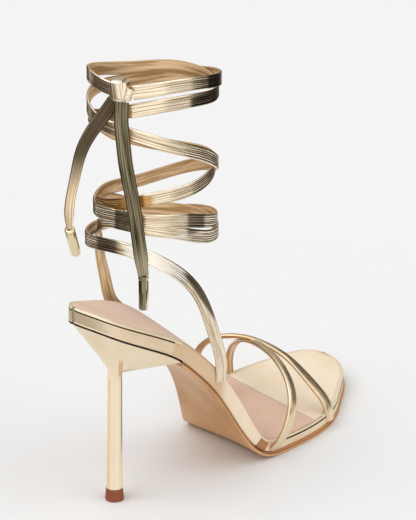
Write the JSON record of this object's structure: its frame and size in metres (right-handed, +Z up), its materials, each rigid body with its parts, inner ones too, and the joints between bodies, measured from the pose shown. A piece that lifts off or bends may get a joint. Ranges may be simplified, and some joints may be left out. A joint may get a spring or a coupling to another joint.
{
  "type": "strappy stiletto heel",
  "caption": "Strappy stiletto sandal with a slim high heel, thin curved footbed, straps crossed over the toes and flat ties wound round an open ankle, knotted behind with hanging tails.",
  "frame": {"origin": "middle of the shoe's box in plan, on the floor, without the knot and its hanging tails", "axes": "+X towards the toe, +Y towards the inner side of the foot, +Z up from the floor"},
  "size_m": [0.2213, 0.0812, 0.212],
  "materials": {
    "sole_leather": "smooth tan leather with a dark stained edge",
    "lining_leather": "matte nude lining, edges wrapped in pale gold grained leather",
    "heel_cover": "smooth pale gold, glossy",
    "top_piece": "matte reddish brown",
    "strap_leather": "pleated metallic gold outside, tan inside",
    "end_metal": "polished gold"
  },
  "bodies": {
    "root": {"outsole": "sole_leather", "footbed": "lining_leather", "heel": "heel_cover", "heel_tip": "top_piece", "toe_straps": "strap_leather", "ankle_ties": "strap_leather", "knot": "strap_leather", "tail_a": "strap_leather", "tail_b": "strap_leather", "aglet_a": "end_metal", "aglet_b": "end_metal"}
  },
  "joints": []
}
